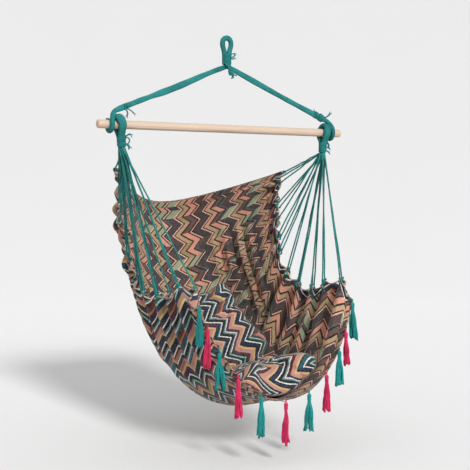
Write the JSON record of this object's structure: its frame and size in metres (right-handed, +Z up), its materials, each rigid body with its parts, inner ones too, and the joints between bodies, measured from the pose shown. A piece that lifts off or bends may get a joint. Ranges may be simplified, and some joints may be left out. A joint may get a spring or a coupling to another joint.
{
  "type": "hammock chair",
  "caption": "Hanging hammock chair: a zigzag cloth seat with cushions and tassels, slung by fans of cords from a wooden spreader bar and one rope eye.",
  "frame": {"origin": "top inside of the hanging eye, where the hook carries the chair", "axes": "+Z up, X along the spreader bar, the chair faces -Y"},
  "size_m": [1, 0.9358, 1.3769],
  "materials": {
    "wood": "satin",
    "rope": "matte",
    "cord": "matte",
    "cloth": "matte",
    "hem": "matte",
    "cushion_cover": "matte",
    "tassel_teal": "matte",
    "tassel_pink": "matte"
  },
  "bodies": {
    "yoke": {"hanging_eye": "rope", "eye_whipping": "rope", "arm_left": "rope", "arm_right": "rope", "bar_loop_left": "rope", "bar_loop_right": "rope"},
    "bar": {"spreader_bar": "wood"},
    "seat": {"clew_eye_left": "rope", "clew_eye_right": "rope", "clew_whipping_left": "rope", "clew_whipping_right": "rope", "cord_left_01": "cord", "cord_left_02": "cord", "cord_left_03": "cord", "cord_left_04": "cord", "cord_left_05": "cord", "cord_left_06": "cord", "cord_left_07": "cord", "cord_left_08": "cord", "cord_left_09": "cord", "cord_left_10": "cord", "cord_left_11": "cord", "cord_left_12": "cord", "cord_left_13": "cord", "cord_left_14": "cord", "cord_left_15": "cord", "cord_right_01": "cord", "cord_right_02": "cord", "cord_right_03": "cord", "cord_right_04": "cord", "cord_right_05": "cord", "cord_right_06": "cord", "cord_right_07": "cord", "cord_right_08": "cord", "cord_right_09": "cord", "cord_right_10": "cord", "cord_right_11": "cord", "cord_right_12": "cord", "cord_right_13": "cord", "cord_right_14": "cord", "cord_right_15": "cord", "seat_cloth": "cloth", "back_hem": "hem", "front_hem": "hem", "side_hem_left": "hem", "side_hem_right": "hem"},
    "back_cushion": {"cushion_back": "cushion_cover"},
    "seat_cushion": {"cushion_seat": "cushion_cover"},
    "tassel_01_body": {"tassel_01": "tassel_teal"},
    "tassel_02_body": {"tassel_02": "tassel_pink"},
    "tassel_03_body": {"tassel_03": "tassel_teal"},
    "tassel_04_body": {"tassel_04": "tassel_pink"},
    "tassel_05_body": {"tassel_05": "tassel_teal"},
    "tassel_06_body": {"tassel_06": "tassel_pink"},
    "tassel_07_body": {"tassel_07": "tassel_teal"},
    "tassel_08_body": {"tassel_08": "tassel_pink"},
    "tassel_09_body": {"tassel_09": "tassel_teal"},
    "tassel_10_body": {"tassel_10": "tassel_pink"},
    "tassel_11_body": {"tassel_11": "tassel_teal"}
  },
  "joints": [
    {"name": "bar_roll", "type": "hinge", "parent": "yoke", "child": "bar", "pos_m": [0, 0, -0.316], "axis": [1, 0, 0], "continuous": true},
    {"name": "seat_swing", "type": "hinge", "parent": "yoke", "child": "seat", "pos_m": [0, 0, -0.316], "axis": [1, 0, 0], "range_deg": [-20, 20]},
    {"name": "back_cushion_lift", "type": "slide", "parent": "seat", "child": "back_cushion", "axis": [0, 0, 1], "range_m": [0, 0.45]},
    {"name": "seat_cushion_lift", "type": "slide", "parent": "seat", "child": "seat_cushion", "axis": [0, -0.342, 0.9397], "range_m": [0, 0.45]},
    {"name": "tassel_01_swing", "type": "hinge", "parent": "seat", "child": "tassel_01_body", "pos_m": [-0.30267, -0.35144, -0.9026], "axis": [-1, 0, 0], "range_deg": [0, 60]},
    {"name": "tassel_02_swing", "type": "hinge", "parent": "seat", "child": "tassel_02_body", "pos_m": [-0.279, -0.36185, -0.971], "axis": [-1, 0, 0], "range_deg": [0, 60]},
    {"name": "tassel_03_swing", "type": "hinge", "parent": "seat", "child": "tassel_03_body", "pos_m": [-0.24252, -0.37345, -1.04722], "axis": [-1, 0, 0], "range_deg": [0, 60]},
    {"name": "tassel_04_swing", "type": "hinge", "parent": "seat", "child": "tassel_04_body", "pos_m": [-0.18087, -0.38663, -1.13377], "axis": [-1, 0, 0], "range_deg": [0, 60]},
    {"name": "tassel_05_swing", "type": "hinge", "parent": "seat", "child": "tassel_05_body", "pos_m": [-0.10011, -0.39658, -1.19913], "axis": [-1, 0, 0], "range_deg": [0, 60]},
    {"name": "tassel_06_swing", "type": "hinge", "parent": "seat", "child": "tassel_06_body", "pos_m": [-0.00731, -0.40065, -1.22585], "axis": [-1, 0, 0], "range_deg": [0, 60]},
    {"name": "tassel_07_swing", "type": "hinge", "parent": "seat", "child": "tassel_07_body", "pos_m": [0.0871, -0.39759, -1.20576], "axis": [-1, 0, 0], "range_deg": [0, 60]},
    {"name": "tassel_08_swing", "type": "hinge", "parent": "seat", "child": "tassel_08_body", "pos_m": [0.16403, -0.38928, -1.1512], "axis": [-1, 0, 0], "range_deg": [0, 60]},
    {"name": "tassel_09_swing", "type": "hinge", "parent": "seat", "child": "tassel_09_body", "pos_m": [0.22497, -0.37786, -1.07616], "axis": [-1, 0, 0], "range_deg": [0, 60]},
    {"name": "tassel_10_swing", "type": "hinge", "parent": "seat", "child": "tassel_10_body", "pos_m": [0.2594, -0.36857, -1.01514], "axis": [-1, 0, 0], "range_deg": [0, 60]},
    {"name": "tassel_11_swing", "type": "hinge", "parent": "seat", "child": "tassel_11_body", "pos_m": [0.29846, -0.35355, -0.91645], "axis": [-1, 0, 0], "range_deg": [0, 60]}
  ]
}
